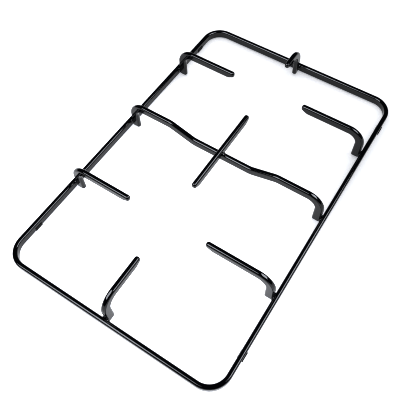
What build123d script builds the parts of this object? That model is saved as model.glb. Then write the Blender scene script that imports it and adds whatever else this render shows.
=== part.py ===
from build123d import *
import math
import os

# Hob pan support: a flat-bar frame, bent fingers, a dipped centre bar and a cross bar, welded
# together and standing on four rubber feet. X runs across the support, Y from its near to its far
# short side, and Z up. The origin is on the hob, under the middle of the frame. Sizes are in mm.

# Frame: one flat bar on edge, bent into a rounded rectangle
FRAME_WIDTH = 252.0
FRAME_LENGTH = 389.0
FRAME_CORNER_RADIUS = 23.5
FRAME_BAR_THICKNESS = 5.2
FRAME_BAR_HEIGHT = 9.8
FRAME_BAR_FLAT = 0.9

# Finger bar: the flat bar of the fingers, the centre bar and the cross bar, also on edge
BAR_THICKNESS = 5.3
BAR_HEIGHT = 9.6
BAR_FLAT = 0.9
LEG_BEND_RADIUS = 10.3

# Free ends: a rounded nose with the underside tapered up to it
TIP_TAPER_LENGTH = 7.0
TIP_TAPER_RADIUS = 8.0
TIP_NOSE_EXTRA = 0.4
TIP_NOSE_FLAT = 0.5

# Layout: where the pan stands, the circle of free ends round each burner, where the legs end
PAN_HEIGHT = 41.8
NEAR_TIP_RADIUS = 45.2
FAR_TIP_RADIUS = 43.8
NEAR_FINGER_REACH = 57.5
FAR_FINGER_REACH = 36.6
CENTRE_BAR_OFFSET = 1.6
LEG_LIFT = 2.6

# Dip of the centre bar, as deep as the cross bar that lies in it is high
DIP_HALF_LENGTH = 35.3
DIP_SLOPE_LENGTH = 30.0
DIP_BEND_RADIUS = 15.0

# Weld beads
WELD_RADIUS = 3.0
WELD_ROOT = 0.9
WELD_RISE = 0.8

# Rubber feet: caps pushed on the frame bar from below, ribbed on their thicker outer wall
FOOT_LENGTH = 9.0
FOOT_OUTER_WALL = 0.6
FOOT_INNER_WALL = 0.5
FOOT_SOLE = 0.7
FOOT_GRIP = 5.0
NEAR_FOOT_INSET = 45.3
FAR_FOOT_INSET = 41.0
FOOT_EDGE_RADIUS = 0.3
FOOT_GROOVE_COUNT = 4
FOOT_GROOVE_WIDTH = 0.8
FOOT_GROOVE_DEPTH = 0.3

# Sizes and places worked out from those above
frame_edge_radius = (FRAME_BAR_THICKNESS - FRAME_BAR_FLAT) / 2
edge_radius = (BAR_THICKNESS - BAR_FLAT) / 2
nose_radius = edge_radius + TIP_NOSE_EXTRA
foot_corner_radius = frame_edge_radius + FOOT_INNER_WALL
frame_top = FOOT_SOLE + FRAME_BAR_HEIGHT
leg_end = FOOT_SOLE + LEG_LIFT
bar_underside = PAN_HEIGHT - BAR_HEIGHT
tip_underside = PAN_HEIGHT - 2 * nose_radius - TIP_NOSE_FLAT
inner_x = FRAME_WIDTH / 2 - FRAME_BAR_THICKNESS
inner_y = FRAME_LENGTH / 2 - FRAME_BAR_THICKNESS
near_side_reach = inner_x - NEAR_TIP_RADIUS
far_side_reach = inner_x - FAR_TIP_RADIUS
near_burner_y = -inner_y + NEAR_FINGER_REACH + NEAR_TIP_RADIUS
far_burner_y = inner_y - FAR_FINGER_REACH - FAR_TIP_RADIUS
centre_bar_y = (near_burner_y + far_burner_y) / 2 + CENTRE_BAR_OFFSET
dip_top = bar_underside
dip_underside = dip_top - BAR_HEIGHT

# Each finger: where its leg meets the frame, facing inwards, and how far it reaches from there
FINGERS = {
    "left_finger_near": (Pos(-inner_x, near_burner_y), near_side_reach),
    "left_finger_far": (Pos(-inner_x, far_burner_y), far_side_reach),
    "right_finger_near": (Pos(inner_x, near_burner_y) * Rot(Z=180), near_side_reach),
    "right_finger_far": (Pos(inner_x, far_burner_y) * Rot(Z=180), far_side_reach),
    "near_finger": (Pos(0, -inner_y) * Rot(Z=90), NEAR_FINGER_REACH),
    "far_finger": (Pos(0, inner_y) * Rot(Z=-90), FAR_FINGER_REACH),
}
CENTRE_BAR_LEGS = [Pos(-inner_x, centre_bar_y), Pos(inner_x, centre_bar_y) * Rot(Z=180)]


def flat_bar(corners, level=None):
    """Flat bar on edge from its side outline, given as (x, z, corner radius).

    Its long edges are rounded. A square-cut end on the given level stays sharp.
    """
    side = make_face(Polyline(*[(x, z) for x, z, radius in corners], close=True))
    for x, z, radius in corners:
        if radius > 0:
            corner = side.vertices().sort_by_distance((x, z))[0]
            side = fillet(corner, radius)
    bar = extrude(Plane.XZ * side, BAR_THICKNESS / 2, both=True)
    layers = bar.edges().group_by(Axis.Y)
    rims = layers[0] + layers[-1]
    if level is not None:
        rims = [edge for edge in rims if edge.center().Z > level + edge_radius / 2]
    return fillet(rims, edge_radius)


def finger(reach):
    """Finger with its leg's back on x = 0: leg, bend, level run and tapered free end along +X."""
    corners = [
        (0, leg_end, 0),
        (0, PAN_HEIGHT, LEG_BEND_RADIUS + BAR_HEIGHT),
        (reach, PAN_HEIGHT, nose_radius),
        (reach, tip_underside, nose_radius),
        (reach - TIP_TAPER_LENGTH, bar_underside, TIP_TAPER_RADIUS),
        (BAR_HEIGHT, bar_underside, LEG_BEND_RADIUS),
        (BAR_HEIGHT, leg_end, 0),
    ]
    return flat_bar(corners, leg_end)


def centre_bar():
    """Full-width bar with a leg at each end and its middle dipped to carry the cross bar."""
    slope = math.atan2(BAR_HEIGHT, DIP_SLOPE_LENGTH)
    shift = BAR_HEIGHT / 2 * math.tan(slope / 2)
    inside = DIP_BEND_RADIUS
    outside = DIP_BEND_RADIUS + BAR_HEIGHT
    dip_end = DIP_HALF_LENGTH + DIP_SLOPE_LENGTH
    upper = [
        (inner_x, PAN_HEIGHT, LEG_BEND_RADIUS + BAR_HEIGHT),
        (dip_end - shift, PAN_HEIGHT, outside),
        (DIP_HALF_LENGTH - shift, dip_top, inside),
    ]
    lower = [
        (DIP_HALF_LENGTH + shift, dip_underside, outside),
        (dip_end + shift, bar_underside, inside),
        (inner_x - BAR_HEIGHT, bar_underside, LEG_BEND_RADIUS),
        (inner_x - BAR_HEIGHT, leg_end, 0),
    ]
    right = [(inner_x, leg_end, 0)] + upper
    left = [(-x, z, radius) for x, z, radius in reversed(right)]
    lower_left = [(-x, z, radius) for x, z, radius in reversed(lower)]
    return Pos(0, centre_bar_y) * flat_bar(right + left + lower_left + lower, leg_end)


def cross_bar():
    """Straight bar along Y, lying in the dip, with a tapered free end over each burner."""
    start = near_burner_y + NEAR_TIP_RADIUS
    end = far_burner_y - FAR_TIP_RADIUS
    corners = [
        (start, PAN_HEIGHT, nose_radius),
        (end, PAN_HEIGHT, nose_radius),
        (end, tip_underside, nose_radius),
        (end - TIP_TAPER_LENGTH, bar_underside, TIP_TAPER_RADIUS),
        (start + TIP_TAPER_LENGTH, bar_underside, TIP_TAPER_RADIUS),
        (start, tip_underside, nose_radius),
    ]
    return Rot(Z=90) * flat_bar(corners)


def frame_loop(width, length, corner_radius):
    """Closed bar on edge round a rounded rectangle, with its long edges rounded."""
    inside = 2 * FRAME_BAR_THICKNESS
    plan = RectangleRounded(width, length, corner_radius)
    plan -= RectangleRounded(width - inside, length - inside, corner_radius - FRAME_BAR_THICKNESS)
    ring = extrude(Pos(0, 0, FOOT_SOLE) * plan, FRAME_BAR_HEIGHT)
    levels = ring.edges().group_by(Axis.Z)
    return fillet(levels[0] + levels[-1], frame_edge_radius)


def frame_stretch(length):
    """Straight stretch of the frame bar along Y, centred on x = 0."""
    plan = Pos(0, 0, FOOT_SOLE) * Rectangle(FRAME_BAR_THICKNESS, length)
    bar = extrude(plan, FRAME_BAR_HEIGHT)
    return fillet(bar.edges().filter_by(Axis.Y), frame_edge_radius)


def leg_weld():
    """Two beads in the corners between a leg and the frame, for a leg with its back on x = 0."""
    low = leg_end + WELD_RADIUS
    high = frame_top + WELD_RISE - WELD_RADIUS
    bead = Pos(0, 0, (low + high) / 2) * Cylinder(WELD_RADIUS, high - low)
    bead += Pos(0, 0, low) * Sphere(WELD_RADIUS)
    bead += Pos(0, 0, high) * Sphere(WELD_RADIUS)
    bead = Pos(0, BAR_THICKNESS / 2) * bead
    bead -= finger(near_side_reach)
    bead -= Pos(-FRAME_BAR_THICKNESS / 2) * frame_stretch(FRAME_BAR_HEIGHT * 2)
    root = Pos(0, BAR_THICKNESS / 2 - WELD_ROOT) * Box(
        BAR_HEIGHT * 2, BAR_THICKNESS * 2, PAN_HEIGHT * 2, align=(Align.CENTER, Align.MAX, Align.CENTER)
    )
    bead -= root
    return [bead, mirror(bead, about=Plane.XZ)]


def cross_weld(centre, cross):
    """Two beads where the cross bar lies on the centre bar, one on each of its sides."""
    bead = Pos(BAR_THICKNESS / 2, centre_bar_y, dip_top) * Sphere(WELD_RADIUS)
    bead = bead - centre - cross
    root = Pos(BAR_THICKNESS / 2 - WELD_ROOT, centre_bar_y, dip_top) * Box(
        BAR_THICKNESS * 2, BAR_HEIGHT * 2, BAR_HEIGHT * 2, align=(Align.MAX, Align.CENTER, Align.CENTER)
    )
    bead -= root
    return [bead, mirror(bead, about=Plane.YZ)]


def rubber_foot():
    """Cap round the lower part of a frame bar along Y at x = 0, with its ribbed wall towards +X."""
    inner = -FRAME_BAR_THICKNESS / 2 - FOOT_INNER_WALL
    outer = FRAME_BAR_THICKNESS / 2 + FOOT_OUTER_WALL
    height = FOOT_SOLE + FOOT_GRIP
    block = Box(outer - inner, FOOT_LENGTH, height, align=(Align.MIN, Align.CENTER, Align.MIN))
    foot = Pos(inner) * block
    foot = fillet(foot.edges().filter_by(Axis.Y).group_by(Axis.Z)[0], foot_corner_radius)
    rows = foot.edges().group_by(Axis.Y)
    foot = fillet(rows[0] + rows[-1], FOOT_EDGE_RADIUS)
    pitch = FOOT_LENGTH / (FOOT_GROOVE_COUNT + 1)
    groove = Box(FOOT_GROOVE_DEPTH * 2, FOOT_GROOVE_WIDTH, height * 2)
    for place in GridLocations(0, pitch, 1, FOOT_GROOVE_COUNT):
        foot -= Pos(outer) * place * groove
    return foot - frame_stretch(FOOT_LENGTH * 2)


def build():
    """All pieces of the pan support by name."""
    parts = {"frame_ring": frame_loop(FRAME_WIDTH, FRAME_LENGTH, FRAME_CORNER_RADIUS)}
    for name, (place, reach) in FINGERS.items():
        parts[name] = place * finger(reach)
    parts["centre_bar"] = centre_bar()
    parts["cross_bar"] = cross_bar()

    legs = [place for place, reach in FINGERS.values()] + CENTRE_BAR_LEGS
    beads = [place * bead for bead in leg_weld() for place in legs]
    beads += cross_weld(parts["centre_bar"], parts["cross_bar"])
    parts["weld_beads"] = Compound([solid for bead in beads for solid in bead.solids()])

    right_foot = Pos((FRAME_WIDTH - FRAME_BAR_THICKNESS) / 2) * rubber_foot()
    left_foot = mirror(right_foot, about=Plane.YZ)
    near_y = NEAR_FOOT_INSET - FRAME_LENGTH / 2
    far_y = FRAME_LENGTH / 2 - FAR_FOOT_INSET
    for end, y in (("near", near_y), ("far", far_y)):
        parts[f"foot_{end}_left"] = Pos(0, y) * left_foot
        parts[f"foot_{end}_right"] = Pos(0, y) * right_foot
    return parts


os.makedirs("parts", exist_ok=True)
for name, shape in build().items():
    shape.label = name
    export_step(shape, f"parts/{name}.step")
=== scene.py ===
import logging
import math
from dataclasses import dataclass, field
from enum import Enum
from typing import Sequence, Union

import bpy
from mathutils import Matrix, Vector


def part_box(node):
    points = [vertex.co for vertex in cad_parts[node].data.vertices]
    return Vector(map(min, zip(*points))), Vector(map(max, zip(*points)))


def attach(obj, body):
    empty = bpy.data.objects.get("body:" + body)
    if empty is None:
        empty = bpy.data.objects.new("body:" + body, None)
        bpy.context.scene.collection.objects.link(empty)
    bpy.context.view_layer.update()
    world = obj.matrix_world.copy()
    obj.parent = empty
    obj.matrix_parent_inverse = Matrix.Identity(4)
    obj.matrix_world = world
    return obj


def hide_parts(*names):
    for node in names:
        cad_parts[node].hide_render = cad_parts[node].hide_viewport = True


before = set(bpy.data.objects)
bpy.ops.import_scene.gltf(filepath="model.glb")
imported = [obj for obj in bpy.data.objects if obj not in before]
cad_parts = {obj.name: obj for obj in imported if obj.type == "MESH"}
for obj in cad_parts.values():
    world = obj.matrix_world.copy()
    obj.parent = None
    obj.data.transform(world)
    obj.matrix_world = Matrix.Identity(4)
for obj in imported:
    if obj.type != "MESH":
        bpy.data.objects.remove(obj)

# Lengths are in metres, and MM turns a size in millimetres into metres.
MM = 0.001
# Points closer than this are one point.
SAME_POINT = 0.001 * MM
BODY = "root"
logger = logging.getLogger("hob_pan_support")

# A corner of an outline is its x, its y and the radius that rounds it.
Corner = tuple[float, float, float]
Point = tuple[float, float, float]
Colour = tuple[float, float, float]
Sizes = dict[str, float | int]

# Slightly cool white of the studio's light.
COOL_WHITE: Colour = (0.90, 0.93, 1.0)


class Wire:
    """Output socket of a node. Arithmetic on it adds Math nodes to its tree."""

    def __init__(self, graph: "Graph", socket: bpy.types.NodeSocket) -> None:
        """Wraps one output socket of a node in the graph's tree."""
        self.graph = graph
        self.socket = socket

    def output(self, name: str) -> "Wire":
        """Another output of the same node."""
        return Wire(self.graph, self.socket.node.outputs[name])

    def _math(self, operation: str, first: "Value", second: "Value") -> "Wire":
        """Adds a Math node for an operation on two values."""
        return self.graph.add("ShaderNodeMath", {"operation": operation}, {0: first, 1: second})

    def __add__(self, other: "Value") -> "Wire":
        """This value plus another."""
        return self._math("ADD", self, other)

    def __radd__(self, other: "Value") -> "Wire":
        """Another value plus this one."""
        return self._math("ADD", other, self)

    def __sub__(self, other: "Value") -> "Wire":
        """This value minus another."""
        return self._math("SUBTRACT", self, other)

    def __rsub__(self, other: "Value") -> "Wire":
        """Another value minus this one."""
        return self._math("SUBTRACT", other, self)

    def __mul__(self, other: "Value") -> "Wire":
        """This value times another."""
        return self._math("MULTIPLY", self, other)

    def __rmul__(self, other: "Value") -> "Wire":
        """Another value times this one."""
        return self._math("MULTIPLY", other, self)

    def __gt__(self, other: "Value") -> "Wire":
        """1 where this value is above another, else 0."""
        return self._math("GREATER_THAN", self, other)

    def __abs__(self) -> "Wire":
        """This value without its sign."""
        return self._math("ABSOLUTE", self, 0.0)


Value = Union[Wire, float, int, str, tuple, bpy.types.ID]


class Graph:
    """Node tree, with one method that adds any node to it."""

    def __init__(self, tree: bpy.types.NodeTree) -> None:
        """Wraps a tree and empties it."""
        self.tree = tree
        tree.nodes.clear()

    def add(
        self,
        kind: str,
        settings: dict[str, object] | None = None,
        sockets: dict[str | int, Value] | None = None,
        output: str | int = 0,
    ) -> Wire | None:
        """Adds a node.

        Args:
            kind: The node's type name.
            settings: Properties to set first.
            sockets: Values or links for its inputs, by name or number.
            output: The output to hand back.

        Returns:
            The chosen output of the new node, or None for a node that ends the tree.
        """
        node = self.tree.nodes.new(kind)
        for name, setting in (settings or {}).items():
            setattr(node, name, setting)
        for name, value in (sockets or {}).items():
            self.feed(node.inputs[name], value)
        return Wire(self, node.outputs[output]) if node.outputs else None

    def feed(self, socket: bpy.types.NodeSocket, value: Value) -> None:
        """Links a wire or several to an input socket, or sets the socket to a plain value."""
        if isinstance(value, Wire):
            self.tree.links.new(value.socket, socket)
        elif isinstance(value, tuple) and isinstance(value[0], Wire):
            for wire in value:
                self.tree.links.new(wire.socket, socket)
        else:
            socket.default_value = value


class MaterialGraph(Graph):
    """Node tree of a new material, with texture coordinates and an output."""

    def __init__(self, name: str) -> None:
        """Makes the material and its empty tree."""
        self.material = bpy.data.materials.new(name)
        self.material.use_nodes = True
        super().__init__(self.material.node_tree)
        self.place = self.add("ShaderNodeTexCoord", output="Object")

    def noise(self, size: float, detail: float = 2.0, roughness: float = 0.5) -> Wire:
        """Noise from 0 to 1.

        Args:
            size: Width of one patch, in metres.
            detail: How many finer layers the noise has.
            roughness: Weight of the finer layers.

        Returns:
            The noise value.
        """
        sockets = {
            "Vector": self.place, "Scale": 1.0 / size, "Detail": detail, "Roughness": roughness,
        }
        return self.add("ShaderNodeTexNoise", {"noise_dimensions": "3D"}, sockets, "Fac")

    def blend(self, share: Value, first: Colour, second: Colour) -> Wire:
        """Colour mixed from two colours by a share from 0 to 1."""
        # Inputs 6 and 7 and output 2 of a Mix node are its colours.
        sockets = {0: share, 6: (*first, 1.0), 7: (*second, 1.0)}
        return self.add("ShaderNodeMix", {"data_type": "RGBA"}, sockets, 2)

    def bump(self, height: Wire, distance: float, strength: float = 1.0) -> Wire:
        """Normal bumped by a height of up to a distance in metres."""
        sockets = {"Height": height, "Strength": strength, "Distance": distance}
        return self.add("ShaderNodeBump", None, sockets, "Normal")

    def finish(self, **sockets: Value) -> bpy.types.Material:
        """Ends the tree in a Principled shader.

        Args:
            sockets: Values or links of the shader's inputs, with _ for spaces in their names.

        Returns:
            The finished material.
        """
        named = {name.replace("_", " "): value for name, value in sockets.items()}
        shader = self.add("ShaderNodeBsdfPrincipled", None, named, "BSDF")
        self.add("ShaderNodeOutputMaterial", None, {"Surface": shader})
        return self.material


@dataclass(frozen=True)
class EnamelFinish:
    """Glossy black enamel, fired on in one even coat."""

    deep: Colour = (0.0014, 0.0018, 0.0031)
    pale: Colour = (0.0030, 0.0038, 0.0062)
    roughness: float = 0.045
    roughness_spread: float = 0.06
    flow_size: float = 14.0 * MM
    flow_detail: float = 3.0
    peel_size: float = 1.4 * MM
    peel_detail: float = 1.0
    peel_share: float = 0.7
    peel_depth: float = 0.010 * MM
    index: float = 1.52

    def material(self) -> bpy.types.Material:
        """Enamel with the slow flow and fine peel of a fired coat."""
        graph = MaterialGraph("gloss_black_enamel")
        flow = graph.noise(self.flow_size, self.flow_detail)
        peel = graph.noise(self.peel_size, self.peel_detail)
        colour = graph.blend(flow, self.deep, self.pale)
        roughness = self.roughness + self.roughness_spread * flow * peel
        height = self.peel_share * peel + (1.0 - self.peel_share) * flow
        normal = graph.bump(height, self.peel_depth)
        return graph.finish(Base_Color=colour, Roughness=roughness, Normal=normal, IOR=self.index)


@dataclass(frozen=True)
class RubberFinish:
    """Matte black moulded rubber."""

    deep: Colour = (0.010, 0.010, 0.010)
    dusty: Colour = (0.030, 0.029, 0.028)
    roughness: float = 0.62
    roughness_spread: float = 0.25
    specular: float = 0.3
    bloom_size: float = 3.0 * MM
    bloom_detail: float = 4.0
    bloom_roughness: float = 0.6
    grain_size: float = 0.25 * MM
    grain_depth: float = 0.03 * MM
    grain_strength: float = 0.6

    def material(self) -> bpy.types.Material:
        """Rubber with a fine moulded grain and a faint bloom."""
        graph = MaterialGraph("matte_black_rubber")
        bloom = graph.noise(self.bloom_size, self.bloom_detail, self.bloom_roughness)
        grain = graph.noise(self.grain_size)
        colour = graph.blend(bloom * bloom, self.deep, self.dusty)
        roughness = self.roughness + self.roughness_spread * grain
        normal = graph.bump(grain, self.grain_depth, self.grain_strength)
        return graph.finish(
            Base_Color=colour, Roughness=roughness, Normal=normal, Specular_IOR_Level=self.specular
        )


@dataclass(frozen=True)
class PaperFinish:
    """Warm white paper of the studio floor, with a painted glow (emission) that stands in for studio
    light, brighter towards its near left.
    """

    shade: Colour = (0.91, 0.88, 0.82)
    light: Colour = (0.95, 0.92, 0.85)
    roughness: float = 0.9
    specular: float = 0.1
    fibre_size: float = 60.0 * MM
    # Painted light: strength of the paper's emission glow, which stands in for studio light on the
    # floor.
    glow: float = 1.06
    far_share: float = 0.42
    near_edge: float = -0.12
    far_edge: float = 0.15
    slant: float = 0.3

    def material(self) -> bpy.types.Material:
        """Matte white paper, a touch uneven, with a painted glow of light that fades towards the far
        right.
        """
        graph = MaterialGraph("white_paper_painted_glow")
        colour = graph.blend(graph.noise(self.fibre_size), self.shade, self.light)
        split = graph.add("ShaderNodeSeparateXYZ", None, {"Vector": graph.place})
        # Painted light: the emission glow is full at the near left and falls to far_share of it
        # towards the far right.
        ahead = split.output("Y") + self.slant * split.output("X")
        sockets = {"Value": ahead, "From Min": self.near_edge, "From Max": self.far_edge}
        fade = graph.add("ShaderNodeMapRange", {"interpolation_type": "SMOOTHSTEP"}, sockets)
        far_glow = tuple(self.far_share * part for part in COOL_WHITE)
        glow = graph.blend(fade, COOL_WHITE, far_glow)
        return graph.finish(
            Base_Color=colour, Roughness=self.roughness, Specular_IOR_Level=self.specular,
            Emission_Color=glow, Emission_Strength=self.glow,
        )


class GeometryTree(Graph):
    """Geometry Nodes tree with named inputs, which ends in realised geometry with a material."""

    SOCKET_KINDS = {float: "NodeSocketFloat", int: "NodeSocketInt"}

    def __init__(self, name: str, sizes: dict[str, type]) -> None:
        """Makes a tree.

        Args:
            name: The tree's name.
            sizes: Its inputs by name, each with its type.
        """
        super().__init__(bpy.data.node_groups.new(name, "GeometryNodeTree"))
        self.identifiers: dict[str, str] = {}
        self._declare("Geometry", "NodeSocketGeometry")
        for label, kind in sizes.items():
            self._declare(label, self.SOCKET_KINDS[kind])
        self._declare("Material", "NodeSocketMaterial")
        self.tree.interface.new_socket(
            "Geometry", in_out="OUTPUT", socket_type="NodeSocketGeometry"
        )
        self._inputs = self.add("NodeGroupInput")

    def _declare(self, label: str, kind: str) -> None:
        """Adds an input and keeps its identifier."""
        socket = self.tree.interface.new_socket(label, in_out="INPUT", socket_type=kind)
        self.identifiers[label] = socket.identifier

    def input(self, label: str) -> Wire:
        """One of the tree's inputs."""
        return self._inputs.output(label)

    def close(self, geometry: Wire) -> None:
        """Realises the geometry, shades it smooth, gives it the material and ends the tree."""
        real = self.add("GeometryNodeRealizeInstances", None, {0: geometry})
        smooth = self.add("GeometryNodeSetShadeSmooth", None, {"Geometry": real})
        dressed = self.add(
            "GeometryNodeSetMaterial", None, {"Geometry": smooth, "Material": self.input("Material")}
        )
        self.add("NodeGroupOutput", None, {0: dressed})


class Outline:
    """Loops and runs of corners, each corner with the radius that rounds it."""

    ROUNDING = "rounding"

    def __init__(self) -> None:
        """Starts with no corners."""
        self.points: list[Vector] = []
        self.edges: list[tuple[int, int]] = []
        self.radii: list[float] = []

    def loop(self, corners: Sequence[Corner]) -> "Outline":
        """Adds a closed loop of (x, y, radius) corners in the plane z = 0."""
        points = [Vector((x, y, 0.0)) for x, y, radius in corners]
        self.run(points, [radius for x, y, radius in corners])
        self.edges.append((len(self.points) - 1, len(self.points) - len(corners)))
        return self

    def run(self, points: Sequence[Vector], radii: Sequence[float] | None = None) -> "Outline":
        """Adds an open run of points."""
        first = len(self.points)
        self.points.extend(points)
        self.radii.extend(radii or [0.0] * len(points))
        self.edges.extend((first + step, first + step + 1) for step in range(len(points) - 1))
        return self

    def mesh(self, name: str) -> bpy.types.Mesh:
        """Mesh of points and edges that carries the radii as an attribute."""
        mesh = bpy.data.meshes.new(name)
        mesh.from_pydata(self.points, self.edges, [])
        attribute = mesh.attributes.new(self.ROUNDING, "FLOAT", "POINT")
        attribute.data.foreach_set("value", self.radii)
        return mesh


BAR_SECTION = {"Thickness": float, "Height": float, "Edge Radius": float, "Edge Steps": int}


def rounded_path(tree: GeometryTree) -> Wire:
    """Adds the nodes that turn the tree's outline into curves with rounded corners.

    Args:
        tree: The tree, which has an input named Corner Steps.

    Returns:
        The rounded curves.
    """
    curve = tree.add("GeometryNodeMeshToCurve", None, {"Mesh": tree.input("Geometry")})
    radius = tree.add(
        "GeometryNodeInputNamedAttribute", {"data_type": "FLOAT"}, {"Name": Outline.ROUNDING}
    )
    return tree.add(
        "GeometryNodeFilletCurve",
        {"mode": "POLY"},
        {"Curve": curve, "Count": tree.input("Corner Steps"), "Radius": radius, "Limit Radius": True},
    )


def rounded_section(tree: GeometryTree) -> Wire:
    """Adds the nodes of a bar's section, a rectangle in XY with rounded corners.

    Args:
        tree: The tree, which has the inputs of BAR_SECTION.

    Returns:
        The section's curve, centred on the origin.
    """
    block = tree.add("GeometryNodeCurvePrimitiveQuadrilateral", {"mode": "RECTANGLE"}, {
        "Width": tree.input("Thickness"), "Height": tree.input("Height"),
    })
    return tree.add("GeometryNodeFilletCurve", {"mode": "POLY"}, {
        "Curve": block, "Count": tree.input("Edge Steps"),
        "Radius": tree.input("Edge Radius"), "Limit Radius": True,
    })


def prism(tree: GeometryTree, outline: Wire, depth: Value) -> Wire:
    """Adds the nodes that fill an outline in XY and give it depth.

    Args:
        tree: The tree.
        outline: Closed curve in XY.
        depth: The prism's depth along Z.

    Returns:
        The closed prism, centred on z = 0.
    """
    face = tree.add("GeometryNodeFillCurve", {"mode": "NGONS"}, {"Curve": outline})
    up = tree.add("ShaderNodeCombineXYZ", None, {"Z": depth})
    raised = tree.add("GeometryNodeExtrudeMesh", {"mode": "FACES"}, {
        "Mesh": face, "Offset": up, "Offset Scale": 1.0, "Individual": False,
    })
    base = tree.add("GeometryNodeFlipFaces", None, {"Mesh": face})
    joined = tree.add("GeometryNodeJoinGeometry", None, {"Geometry": (raised, base)})
    merged = tree.add(
        "GeometryNodeMergeByDistance", None, {"Geometry": joined, "Distance": SAME_POINT}
    )
    down = tree.add("ShaderNodeCombineXYZ", None, {"Z": -0.5 * depth})
    return tree.add("GeometryNodeSetPosition", None, {"Geometry": merged, "Offset": down})


class Tree(Enum):
    """Geometry Nodes trees of the pan support."""

    PLATE = "plate_from_outline"
    BENT_BAR = "bar_along_path"
    WELD = "weld_along_seam"
    FOOT = "ribbed_foot"
    CREASE = "crease_by_angle"


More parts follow.
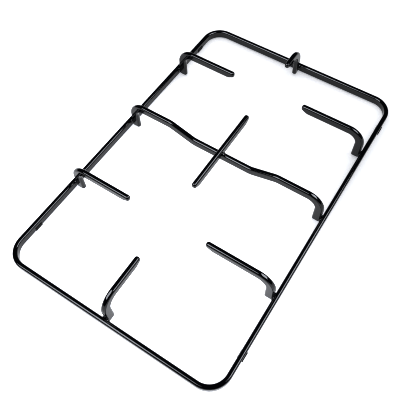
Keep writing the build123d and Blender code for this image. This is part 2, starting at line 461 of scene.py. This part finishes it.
class TreeShop:
    """Makes each Geometry Nodes tree once and runs it on an outline.

    Attributes:
        EDGE_WEIGHT: Attribute that tells a Bevel modifier which edges to round.
        SEAM_SHARE: Attribute that says how far along its seam a point lies, from 0 to 1.
        RIM_SHARE: An edge further than this share of a plate's thickness from its middle is on a rim.
        SLIVER_SHARE: Points of a cut that lie closer than this share of a groove's width are merged.
        KEEN_ANGLE: Edges stay sharp where their faces meet at more than this, in radians.
        FLAT_WEIGHT: How much the large flats outweigh small faces in the shading.
        FOG_DENSITY: Density of the fog that fills a weld bead.
        SKIN_DENSITY: Density of the fog at the bead's skin.
    """

    EDGE_WEIGHT = "bevel_weight_edge"
    SEAM_SHARE = "seam_share"
    RIM_SHARE = 0.45
    SLIVER_SHARE = 0.1
    KEEN_ANGLE = 0.7
    FLAT_WEIGHT = 100
    FOG_DENSITY = 1.0
    SKIN_DENSITY = 0.5

    def __init__(self) -> None:
        """Builds the trees."""
        self.trees = {
            Tree.PLATE: self._plate(),
            Tree.BENT_BAR: self._bent_bar(),
            Tree.WELD: self._weld(),
            Tree.FOOT: self._foot(),
            Tree.CREASE: self._crease(),
        }

    def carrier(
        self,
        name: str,
        kind: Tree,
        outline: Outline,
        sizes: Sizes,
        material: bpy.types.Material,
    ) -> bpy.types.Object:
        """Object that runs a tree on an outline.

        Args:
            name: Name of the piece.
            kind: The tree to run.
            outline: What the tree works on.
            sizes: Values for the tree's inputs by name.
            material: Material that the tree sets.

        Returns:
            The object, with the tree as its first modifier.
        """
        mesh = outline.mesh(name)
        mesh.materials.append(material)
        piece = bpy.data.objects.new(name, mesh)
        bpy.context.scene.collection.objects.link(piece)
        self._run(piece, kind, sizes, material)
        return piece

    def true_flats(self, piece: bpy.types.Object, material: bpy.types.Material) -> None:
        """Keeps a piece's keen edges sharp and the shading of its flats even.

        Args:
            piece: The piece, with the modifiers that make its shape.
            material: Its material.
        """
        self._run(piece, Tree.CREASE, {"Angle": self.KEEN_ANGLE}, material)
        flats = piece.modifiers.new("true_flats", "WEIGHTED_NORMAL")
        flats.mode = "FACE_AREA"
        flats.weight = self.FLAT_WEIGHT
        flats.keep_sharp = True

    def _run(
        self, piece: bpy.types.Object, kind: Tree, sizes: Sizes, material: bpy.types.Material
    ) -> None:
        """Adds a tree to a piece as its next modifier and sets the tree's inputs."""
        modifier = piece.modifiers.new(kind.value, "NODES")
        tree = self.trees[kind]
        modifier.node_group = tree.tree
        for label, value in {**sizes, "Material": material}.items():
            modifier[tree.identifiers[label]] = value

    @staticmethod
    def _crease() -> GeometryTree:
        """Marks edges as sharp where their faces meet at a large angle."""
        tree = GeometryTree(Tree.CREASE.value, {"Angle": float})
        angle = tree.add("GeometryNodeInputMeshEdgeAngle", output="Unsigned Angle")
        tree.close(tree.add("GeometryNodeSetShadeSmooth", {"domain": "EDGE"}, {
            "Geometry": tree.input("Geometry"), "Shade Smooth": tree.input("Angle") > angle,
        }))
        return tree

    @staticmethod
    def _plate() -> GeometryTree:
        """Flat plate from an outline in XY, centred on z = 0, with its rims marked for rounding."""
        sizes = {"Thickness": float, "Corner Steps": int, "Sharp Below": float}
        tree = GeometryTree(Tree.PLATE.value, sizes)
        thickness = tree.input("Thickness")
        plate = prism(tree, rounded_path(tree), thickness)
        place = tree.add("GeometryNodeInputPosition")
        split = tree.add("ShaderNodeSeparateXYZ", None, {"Vector": place})
        on_rim = abs(split.output("Z")) > TreeShop.RIM_SHARE * thickness
        rounded = split.output("Y") > tree.input("Sharp Below")
        marked = tree.add(
            "GeometryNodeStoreNamedAttribute",
            {"data_type": "FLOAT", "domain": "EDGE"},
            {"Geometry": plate, "Name": TreeShop.EDGE_WEIGHT, "Value": on_rim * rounded},
        )
        tree.close(marked)
        return tree

    @staticmethod
    def _bent_bar() -> GeometryTree:
        """Bar of a rounded section along a level path."""
        tree = GeometryTree(Tree.BENT_BAR.value, {**BAR_SECTION, "Corner Steps": int})
        path = rounded_path(tree)
        level = tree.add("GeometryNodeSetCurveNormal", {"mode": "Z_UP"}, {"Curve": path})
        tree.close(tree.add("GeometryNodeCurveToMesh", None, {
            "Curve": level, "Profile Curve": rounded_section(tree), "Fill Caps": True,
        }))
        return tree

    @staticmethod
    def _weld() -> GeometryTree:
        """Rippled weld beads along short seams, full in their middle and thin at their ends."""
        sizes = {
            "Radius": float, "End Share": float, "Pitch": float, "Voxel": float,
            "Unevenness": float, "Softening": int, "Seed": int,
        }
        tree = GeometryTree(Tree.WELD.value, sizes)
        curve = tree.add("GeometryNodeMeshToCurve", None, {"Mesh": tree.input("Geometry")})
        share = tree.add("GeometryNodeSplineParameter")
        marked = tree.add(
            "GeometryNodeStoreNamedAttribute",
            {"data_type": "FLOAT", "domain": "POINT"},
            {"Geometry": curve, "Name": TreeShop.SEAM_SHARE, "Value": share},
        )
        points = tree.add("GeometryNodeCurveToPoints", {"mode": "LENGTH"}, {
            "Curve": marked, "Length": tree.input("Pitch"),
        })
        along = tree.add(
            "GeometryNodeInputNamedAttribute", {"data_type": "FLOAT"}, {"Name": TreeShop.SEAM_SHARE}
        )
        end = tree.input("End Share")
        # A parabola that is 1 in the middle of the seam and the end share at its ends.
        swell = end + 4.0 * (1.0 - end) * along * (1.0 - along)
        # Inputs 2 and 3 and output 1 of a Random Value node are its range and value as floats.
        jitter = tree.add("FunctionNodeRandomValue", {"data_type": "FLOAT"}, {
            2: -1.0, 3: 0.0, "Seed": tree.input("Seed"),
        }, 1)
        radius = tree.input("Radius") * swell * (1.0 + tree.input("Unevenness") * jitter)
        fog = tree.add("GeometryNodePointsToVolume", {"resolution_mode": "VOXEL_SIZE"}, {
            "Points": points, "Density": TreeShop.FOG_DENSITY,
            "Voxel Size": tree.input("Voxel"), "Radius": radius,
        })
        skin = tree.add("GeometryNodeVolumeToMesh", None, {
            "Volume": fog, "Threshold": TreeShop.SKIN_DENSITY,
        })
        place = tree.add("GeometryNodeInputPosition")
        soft = tree.add("GeometryNodeBlurAttribute", {"data_type": "FLOAT_VECTOR"}, {
            "Value": place, "Iterations": tree.input("Softening"),
        })
        tree.close(tree.add("GeometryNodeSetPosition", None, {"Geometry": skin, "Position": soft}))
        return tree

    @staticmethod
    def _foot() -> GeometryTree:
        """Cap from its end outline in XY, with grooves in its wall at +x and a slot for the bar."""
        sizes = {
            **BAR_SECTION, "Corner Steps": int, "Sole": float, "Foot Length": float,
            "Foot Height": float, "Outer Wall": float, "Groove Depth": float,
            "Groove Width": float, "Groove Pitch": float, "Groove Count": int,
        }
        tree = GeometryTree(Tree.FOOT.value, sizes)
        length = tree.input("Foot Length")
        cap = prism(tree, rounded_path(tree), length)

        # A cutter lies half in the wall and half outside it, and reaches well past its height.
        cutter_size = tree.add("ShaderNodeCombineXYZ", None, {
            "X": 2.0 * tree.input("Groove Depth"), "Y": 4.0 * tree.input("Foot Height"),
            "Z": tree.input("Groove Width"),
        })
        cutter = tree.add("GeometryNodeMeshCube", None, {"Size": cutter_size})
        pitch = tree.input("Groove Pitch")
        count = tree.input("Groove Count")
        first = tree.add("ShaderNodeCombineXYZ", None, {
            "X": tree.input("Outer Wall"), "Z": -0.5 * pitch * (count - 1.0),
        })
        step = tree.add("ShaderNodeCombineXYZ", None, {"Z": pitch})
        row = tree.add("GeometryNodeMeshLine", {"mode": "OFFSET"}, {
            "Count": count, "Start Location": first, "Offset": step,
        })
        cutters = tree.add("GeometryNodeInstanceOnPoints", None, {"Points": row, "Instance": cutter})
        grooves = tree.add("GeometryNodeRealizeInstances", None, {0: cutters})

        # The slot is cut by a bar that runs past both ends of the foot.
        rise = tree.add("ShaderNodeCombineXYZ", None, {
            "Y": tree.input("Sole") + 0.5 * tree.input("Height"),
        })
        bar = tree.add("GeometryNodeSetPosition", None, {
            "Geometry": prism(tree, rounded_section(tree), 2.0 * length), "Offset": rise,
        })
        cut = tree.add("GeometryNodeMeshBoolean", {"operation": "DIFFERENCE", "solver": "EXACT"}, {
            "Mesh 1": cap, "Mesh 2": (grooves, bar),
        })
        tree.close(tree.add("GeometryNodeMergeByDistance", None, {
            "Geometry": cut, "Distance": TreeShop.SLIVER_SHARE * tree.input("Groove Width"),
        }))
        return tree


def settle(piece: bpy.types.Object, place: Matrix, slot: str, *nodes: str) -> bpy.types.Object:
    """Turns a piece with modifiers into a plain mesh in its place, and has it stand for CAD nodes.

    Args:
        piece: Object whose modifiers make its shape.
        place: Where its mesh goes.
        slot: Name of a material slot; not used.
        nodes: The CAD nodes that it stands for.

    Returns:
        The piece, at the origin, with its place in its mesh.
    """
    graph = bpy.context.evaluated_depsgraph_get()
    source = piece.data
    mesh = bpy.data.meshes.new_from_object(
        piece.evaluated_get(graph), preserve_all_data_layers=True, depsgraph=graph
    )
    piece.modifiers.clear()
    piece.data = mesh
    bpy.data.meshes.remove(source)
    mesh.name = piece.name
    mesh.transform(place)
    mesh.update()
    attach(piece, BODY)
    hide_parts(*nodes)
    logger.info("%s: %d faces, stands for %s", piece.name, len(mesh.polygons), ", ".join(nodes))
    return piece


class Heading(Enum):
    """Level direction, as (x, y)."""

    RIGHT = (1.0, 0.0)
    LEFT = (-1.0, 0.0)
    FAR = (0.0, 1.0)
    NEAR = (0.0, -1.0)

    def place(self, start: Vector) -> Matrix:
        """Place of an outline whose x runs this way, whose y goes up and whose origin is start."""
        ahead = Vector((*self.value, 0.0))
        up = Vector((0.0, 0.0, 1.0))
        turn = Matrix((ahead, up, ahead.cross(up))).transposed()
        return Matrix.Translation(start) @ turn.to_4x4()


@dataclass(frozen=True)
class BarStock:
    """Flat bar of the fingers, the centre bar and the cross bar, which stands on edge."""

    thickness: float
    height: float
    flat: float = 0.9 * MM
    bend_radius: float = 10.3 * MM
    taper_length: float = 7.0 * MM
    taper_radius: float = 8.0 * MM
    nose_extra: float = 0.4 * MM
    nose_flat: float = 0.5 * MM
    sharp_margin: float = 0.1 * MM
    corner_steps: int = 24
    edge_steps: int = 8

    @classmethod
    def of_cross_bar(cls) -> "BarStock":
        """Stock with the section of the straight cross bar."""
        low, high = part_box("cross_bar")
        return cls(high.x - low.x, high.z - low.z)

    @property
    def edge_radius(self) -> float:
        """Radius of the bar's long edges."""
        return (self.thickness - self.flat) / 2

    def nose(self, x: float, top: float, away: float) -> list[Corner]:
        """Corners of a tapered free end.

        Args:
            x: Where the bar ends.
            top: Level of the bar's top.
            away: 1 where the bar ends towards +x, and -1 where it ends towards -x.

        Returns:
            The corners from the top round to the start of the taper in the underside.
        """
        radius = self.edge_radius + self.nose_extra
        return [
            (x, top, radius),
            (x, top - 2 * radius - self.nose_flat, radius),
            (x - away * self.taper_length, top - self.height, self.taper_radius),
        ]

    def cut(
        self,
        shop: TreeShop,
        name: str,
        corners: Sequence[Corner],
        finish: bpy.types.Material,
        sharp: float,
    ) -> bpy.types.Object:
        """Bar from its side outline, with its long edges rounded.

        Args:
            shop: The Geometry Nodes trees.
            name: Name of the piece.
            corners: Side outline as (x, y, radius), with y up.
            finish: Its material.
            sharp: Level up to which a square-cut end stays sharp.

        Returns:
            The bar, still with its modifiers.
        """
        sizes = {
            "Thickness": self.thickness, "Corner Steps": self.corner_steps,
            "Sharp Below": sharp + self.sharp_margin,
        }
        bar = shop.carrier(name, Tree.PLATE, Outline().loop(corners), sizes, finish)
        rounding = bar.modifiers.new("rounded_edges", "BEVEL")
        rounding.limit_method = "WEIGHT"
        rounding.width = self.edge_radius
        rounding.segments = self.edge_steps
        rounding.use_clamp_overlap = False
        shop.true_flats(bar, finish)
        return bar


@dataclass
class Finger:
    """Bent finger: a leg on the frame, a bend, and a level run with a tapered free end."""

    node: str
    heading: Heading
    stock: BarStock

    def build(self, shop: TreeShop, finish: bpy.types.Material) -> bpy.types.Object:
        """Makes the finger in the place of its CAD node.

        Args:
            shop: The Geometry Nodes trees.
            finish: Its material.

        Returns:
            The finished piece.
        """
        low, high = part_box(self.node)
        ahead = Vector((*self.heading.value, 0.0))
        middle = (low + high) / 2
        reach = abs((high - low).dot(ahead))
        start = middle - ahead * reach / 2
        start.z = 0.0
        depth = self.stock.height
        bend = self.stock.bend_radius
        corners = [
            (0.0, low.z, 0.0),
            (0.0, high.z, bend + depth),
            *self.stock.nose(reach, high.z, 1.0),
            (depth, high.z - depth, bend),
            (depth, low.z, 0.0),
        ]
        bar = self.stock.cut(shop, self.node + "_bar", corners, finish, low.z)
        return settle(bar, self.heading.place(start), "enamel", self.node)


@dataclass
class CentreBar:
    """Full-width bar with a leg at each end and a dip in its middle."""

    stock: BarStock
    dip_half_length: float = 35.3 * MM
    dip_slope_length: float = 30.0 * MM
    dip_bend_radius: float = 15.0 * MM
    node: str = "centre_bar"

    def half(self, end: float, foot: float, top: float) -> list[Corner]:
        """Outline of the right half.

        Args:
            end: Half the bar's length.
            foot: Level of the leg's end.
            top: Level of the bar's top.

        Returns:
            The corners from the middle of the underside round to the middle of the dip.
        """
        depth = self.stock.height
        bend = self.stock.bend_radius
        slope = math.atan2(depth, self.dip_slope_length)
        shift = depth / 2 * math.tan(slope / 2)
        rim = self.dip_half_length + self.dip_slope_length
        inside = self.dip_bend_radius
        outside = self.dip_bend_radius + depth
        return [
            (self.dip_half_length + shift, top - 2 * depth, outside),
            (rim + shift, top - depth, inside),
            (end - depth, top - depth, bend),
            (end - depth, foot, 0.0),
            (end, foot, 0.0),
            (end, top, bend + depth),
            (rim - shift, top, outside),
            (self.dip_half_length - shift, top - depth, inside),
        ]

    def build(self, shop: TreeShop, finish: bpy.types.Material) -> bpy.types.Object:
        """Makes the bar in the place of its CAD node.

        Args:
            shop: The Geometry Nodes trees.
            finish: Its material.

        Returns:
            The finished piece.
        """
        low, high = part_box(self.node)
        start = (low + high) / 2
        start.z = 0.0
        right = self.half((high.x - low.x) / 2, low.z, high.z)
        left = [(-x, y, radius) for x, y, radius in reversed(right)]
        bar = self.stock.cut(shop, "centre_bar_bent", right + left, finish, low.z)
        return settle(bar, Heading.RIGHT.place(start), "enamel", self.node)


@dataclass
class CrossBar:
    """Straight bar in the dip of the centre bar, with a tapered free end over each burner."""

    stock: BarStock
    node: str = "cross_bar"

    def build(self, shop: TreeShop, finish: bpy.types.Material) -> bpy.types.Object:
        """Makes the bar in the place of its CAD node.

        Args:
            shop: The Geometry Nodes trees.
            finish: Its material.

        Returns:
            The finished piece.
        """
        low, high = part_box(self.node)
        start = (low + high) / 2
        half = (high.y - low.y) / 2
        start.z = 0.0
        near = [*reversed(self.stock.nose(-half, high.z, -1.0))]
        corners = near + self.stock.nose(half, high.z, 1.0)
        bar = self.stock.cut(shop, "cross_bar_straight", corners, finish, 0.0)
        return settle(bar, Heading.FAR.place(start), "enamel", self.node)


@dataclass
class FrameRing:
    """Flat bar on edge, bent into a closed rounded rectangle."""

    thickness: float = 5.2 * MM
    flat: float = 0.9 * MM
    corner_radius: float = 23.5 * MM
    corner_steps: int = 40
    edge_steps: int = 9
    node: str = "frame_ring"

    def section(self) -> Sizes:
        """Section of the bar, as the trees' inputs."""
        low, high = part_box(self.node)
        return {
            "Thickness": self.thickness, "Height": high.z - low.z,
            "Edge Radius": (self.thickness - self.flat) / 2, "Edge Steps": self.edge_steps,
        }

    def build(self, shop: TreeShop, finish: bpy.types.Material) -> bpy.types.Object:
        """Makes the ring in the place of its CAD node.

        Args:
            shop: The Geometry Nodes trees.
            finish: Its material.

        Returns:
            The finished piece.
        """
        low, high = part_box(self.node)
        half = self.thickness / 2
        bend = self.corner_radius - half
        x0, x1 = low.x + half, high.x - half
        y0, y1 = low.y + half, high.y - half
        path = Outline().loop([(x0, y0, bend), (x1, y0, bend), (x1, y1, bend), (x0, y1, bend)])
        sizes = {**self.section(), "Corner Steps": self.corner_steps}
        ring = shop.carrier("frame_ring_bar", Tree.BENT_BAR, path, sizes, finish)
        shop.true_flats(ring, finish)
        middle = Vector((0.0, 0.0, (low.z + high.z) / 2))
        return settle(ring, Matrix.Translation(middle), "enamel", self.node)


@dataclass
class WeldBeads:
    """Beads in the corners between each leg and the frame, and at the crossing."""

    legs: tuple[tuple[str, Heading], ...]
    radius: float = 3.1 * MM
    end_share: float = 0.55
    root: float = 0.9 * MM
    pitch: float = 0.7 * MM
    voxel: float = 0.25 * MM
    unevenness: float = 0.14
    softening: int = 7
    seed: int = 4
    crossing_half: float = 1.6 * MM
    crossing_root: float = 1.4 * MM
    node: str = "weld_beads"

    def seams(self) -> Outline:
        """Upright seams at the legs, and a level one each side of the crossing.

        Returns:
            The seams, sunk into the corners by the beads' root.
        """
        ring_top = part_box("frame_ring")[1].z
        seams = Outline()
        tip = self.end_share * self.radius
        for node, heading in self.legs:
            low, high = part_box(node)
            ahead = Vector((*heading.value, 0.0))
            aside = Vector((-ahead.y, ahead.x, 0.0))
            middle = (low + high) / 2
            start = middle - ahead * (abs((high - low).dot(ahead)) / 2 + self.root)
            half = abs((high - low).dot(aside)) / 2 - self.root
            for side in (-half, half):
                foot = start + aside * side
                ends = (low.z + tip, ring_top - tip)
                seams.run([Vector((foot.x, foot.y, end)) for end in ends])
        bar_low, bar_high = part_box("cross_bar")
        centre_low, centre_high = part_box("centre_bar")
        y = (centre_low.y + centre_high.y) / 2
        z = bar_low.z - self.crossing_root
        for x in (bar_low.x + self.crossing_root, bar_high.x - self.crossing_root):
            ends = (y - self.crossing_half, y + self.crossing_half)
            seams.run([Vector((x, end, z)) for end in ends])
        return seams

    def build(self, shop: TreeShop, finish: bpy.types.Material) -> bpy.types.Object:
        """Makes all beads as one piece.

        Args:
            shop: The Geometry Nodes trees.
            finish: Their material.

        Returns:
            The finished piece.
        """
        sizes = {
            "Radius": self.radius, "End Share": self.end_share, "Pitch": self.pitch,
            "Voxel": self.voxel, "Unevenness": self.unevenness, "Softening": self.softening,
            "Seed": self.seed,
        }
        beads = shop.carrier("weld_bead_runs", Tree.WELD, self.seams(), sizes, finish)
        return settle(beads, Matrix.Identity(4), "enamel", self.node)


@dataclass
class RubberFoot:
    """Rubber cap pushed on the frame bar from below, ribbed on its outer wall."""

    node: str
    outward: Heading
    groove_depth: float = 0.3 * MM
    groove_width: float = 0.8 * MM
    groove_count: int = 4
    moulded_radius: float = 0.2 * MM
    moulded_steps: int = 3
    corner_steps: int = 10
    ring: FrameRing = field(default_factory=FrameRing)

    def build(self, shop: TreeShop, finish: bpy.types.Material) -> bpy.types.Object:
        """Makes the foot in the place of its CAD node.

        Args:
            shop: The Geometry Nodes trees.
            finish: Its material.

        Returns:
            The finished piece.
        """
        low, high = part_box(self.node)
        ring_low, ring_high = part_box(self.ring.node)
        section = self.ring.section()
        side = self.outward.value[0]
        bar_x = side * (ring_high.x - self.ring.thickness / 2)
        inner, outer = sorted(((low.x - bar_x) * side, (high.x - bar_x) * side))
        length = high.y - low.y
        height = high.z - low.z
        corner = section["Edge Radius"] - self.ring.thickness / 2 - inner
        outline = Outline().loop([
            (inner, 0.0, corner), (outer, 0.0, corner), (outer, height, 0.0), (inner, height, 0.0),
        ])
        sizes = {
            **section, "Corner Steps": self.corner_steps, "Sole": ring_low.z - low.z,
            "Foot Length": length, "Foot Height": height, "Outer Wall": outer,
            "Groove Depth": self.groove_depth, "Groove Width": self.groove_width,
            "Groove Pitch": length / (self.groove_count + 1), "Groove Count": self.groove_count,
        }
        foot = shop.carrier(self.node + "_cap", Tree.FOOT, outline, sizes, finish)
        rounding = foot.modifiers.new("moulded_edges", "BEVEL")
        rounding.limit_method = "ANGLE"
        rounding.width = self.moulded_radius
        rounding.segments = self.moulded_steps
        shop.true_flats(foot, finish)
        start = Vector((bar_x, (low.y + high.y) / 2, low.z))
        return settle(foot, self.outward.place(start), "rubber", self.node)


class Role(Enum):
    """What a light does."""

    FILL = "lights matte surfaces evenly"
    GLOSS = "shows only as a mirror image in gloss"


@dataclass(frozen=True)
class Softbox:
    """Soft light with a rectangular face that looks at a point."""

    name: str
    role: Role
    place: Point
    aim: Point
    width: float
    length: float
    radiance: float

    def build(self) -> bpy.types.Object:
        """Adds the light to the scene."""
        light = bpy.data.lights.new(self.name, "AREA")
        light.shape = "RECTANGLE"
        light.color = COOL_WHITE
        light.size = self.width
        light.size_y = self.length
        light.energy = self.radiance * math.pi * self.width * self.length
        lamp = bpy.data.objects.new(self.name, light)
        lamp.visible_camera = False
        lamp.visible_glossy = self.role is Role.GLOSS
        lamp.visible_diffuse = self.role is Role.FILL
        lamp.location = self.place
        lamp.rotation_mode = "QUATERNION"
        ahead = Vector(self.aim) - Vector(self.place)
        lamp.rotation_quaternion = ahead.to_track_quat("-Z", "Y")
        bpy.context.scene.collection.objects.link(lamp)
        return lamp


@dataclass
class Studio:
    """White paper floor, a dark room with soft light, and softboxes for the gloss to mirror."""

    floor_half: float = 1.3
    floor_gap: float = 0.1 * MM
    backdrop: float = 1.0
    dark: float = 0.03
    filter_width: float = 1.0
    gamma: float = 0.75
    softboxes: tuple[Softbox, ...] = (
        Softbox(
            "soft_light", Role.FILL, place=(0.0, 0.0, 1.6), aim=(0.0, 0.0, 0.0),
            width=4.0, length=4.0, radiance=1.22,
        ),
        Softbox(
            "right_window", Role.GLOSS, place=(0.54, 0.23, 0.76), aim=(0.0, 0.0, 0.02),
            width=0.70, length=0.55, radiance=11.65,
        ),
        Softbox(
            "near_window", Role.GLOSS, place=(-0.32, -0.52, 0.85), aim=(0.0, 0.0, 0.02),
            width=0.55, length=0.80, radiance=10.9,
        ),
    )

    def build(self) -> None:
        """Makes the floor, the light and the room."""
        half = self.floor_half
        square = ((-half, -half), (half, -half), (half, half), (-half, half))
        mesh = bpy.data.meshes.new("paper_floor")
        mesh.from_pydata([(x, y, -self.floor_gap) for x, y in square], [], [(0, 1, 2, 3)])
        mesh.materials.append(PaperFinish().material())
        floor = bpy.data.objects.new("paper_floor", mesh)
        bpy.context.scene.collection.objects.link(floor)
        for softbox in self.softboxes:
            softbox.build()
        self._room()
        bpy.context.scene.view_settings.view_transform = "Standard"
        bpy.context.scene.view_settings.gamma = self.gamma
        bpy.context.scene.cycles.filter_width = self.filter_width
        logger.info("studio: floor and %d softboxes", len(self.softboxes))

    def _room(self) -> None:
        """Pale backdrop to look at, and a dark room for the gloss to mirror."""
        world = bpy.data.worlds.new("dark_studio")
        world.use_nodes = True
        graph = Graph(world.node_tree)
        seen = graph.add("ShaderNodeLightPath", output="Is Camera Ray")
        strength = self.dark + (self.backdrop - self.dark) * seen
        sockets = {"Color": (1.0, 1.0, 1.0, 1.0), "Strength": strength}
        light = graph.add("ShaderNodeBackground", None, sockets)
        graph.add("ShaderNodeOutputWorld", None, {"Surface": light})
        bpy.context.scene.world = world


@dataclass(frozen=True)
class PhotoCamera:
    """Camera at the photograph's viewing angle.

    Its angles are in degrees, its image size, focal length and centre are in pixels, and the
    width of its sensor is in millimetres.
    """

    azimuth: float = 32.85
    elevation: float = 59.16
    roll: float = -0.46
    distance: float = 554.5 * MM
    target: Point = (12.33 * MM, -18.71 * MM, 2.5 * MM)
    image_size: float = 400.0
    focal_length: float = 517.9
    centre: tuple[float, float] = (215.90, 194.51)
    sensor: float = 36.0

    def build(self) -> bpy.types.Object:
        """Adds the camera and makes it the scene's own."""
        turn = math.radians(self.azimuth)
        lift = math.radians(self.elevation)
        back = Vector((
            math.sin(turn) * math.cos(lift), -math.cos(turn) * math.cos(lift), math.sin(lift),
        ))
        data = bpy.data.cameras.new("photo_camera")
        data.sensor_width = self.sensor
        data.lens = self.focal_length / self.image_size * self.sensor
        data.shift_x = 0.5 - self.centre[0] / self.image_size
        data.shift_y = self.centre[1] / self.image_size - 0.5
        camera = bpy.data.objects.new("photo_camera", data)
        camera.location = Vector(self.target) + back * self.distance
        camera.rotation_mode = "QUATERNION"
        facing = (-back).to_track_quat("-Z", "Y").to_matrix()
        tilt = Matrix.Rotation(math.radians(self.roll), 3, "Z")
        camera.rotation_quaternion = (facing @ tilt).to_quaternion()
        bpy.context.scene.collection.objects.link(camera)
        bpy.context.scene.camera = camera
        return camera


class PanSupport:
    """The whole hob pan support, built piece by piece on its CAD nodes."""

    FINGERS = (
        ("left_finger_near", Heading.RIGHT),
        ("left_finger_far", Heading.RIGHT),
        ("right_finger_near", Heading.LEFT),
        ("right_finger_far", Heading.LEFT),
        ("near_finger", Heading.FAR),
        ("far_finger", Heading.NEAR),
    )
    CENTRE_LEGS = (("centre_bar", Heading.RIGHT), ("centre_bar", Heading.LEFT))
    FEET = (
        ("foot_near_left", Heading.LEFT),
        ("foot_near_right", Heading.RIGHT),
        ("foot_far_left", Heading.LEFT),
        ("foot_far_right", Heading.RIGHT),
    )

    def build(self) -> list[bpy.types.Object]:
        """Makes every piece.

        Returns:
            The finished pieces.
        """
        shop = TreeShop()
        stock = BarStock.of_cross_bar()
        enamel = EnamelFinish().material()
        rubber = RubberFinish().material()
        bars = [Finger(node, heading, stock) for node, heading in self.FINGERS]
        steel = [FrameRing(), *bars, CentreBar(stock), CrossBar(stock)]
        steel.append(WeldBeads(legs=self.FINGERS + self.CENTRE_LEGS))
        pieces = [part.build(shop, enamel) for part in steel]
        pieces += [RubberFoot(node, outward).build(shop, rubber) for node, outward in self.FEET]
        return pieces


def main() -> None:
    """Builds the pan support, its studio and the camera."""
    logging.basicConfig(level=logging.INFO, format="%(name)s %(message)s")
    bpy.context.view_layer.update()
    pieces = PanSupport().build()
    logger.info("%d pieces", len(pieces))
    Studio().build()
    PhotoCamera().build()


if __name__ == "__main__":
    main()
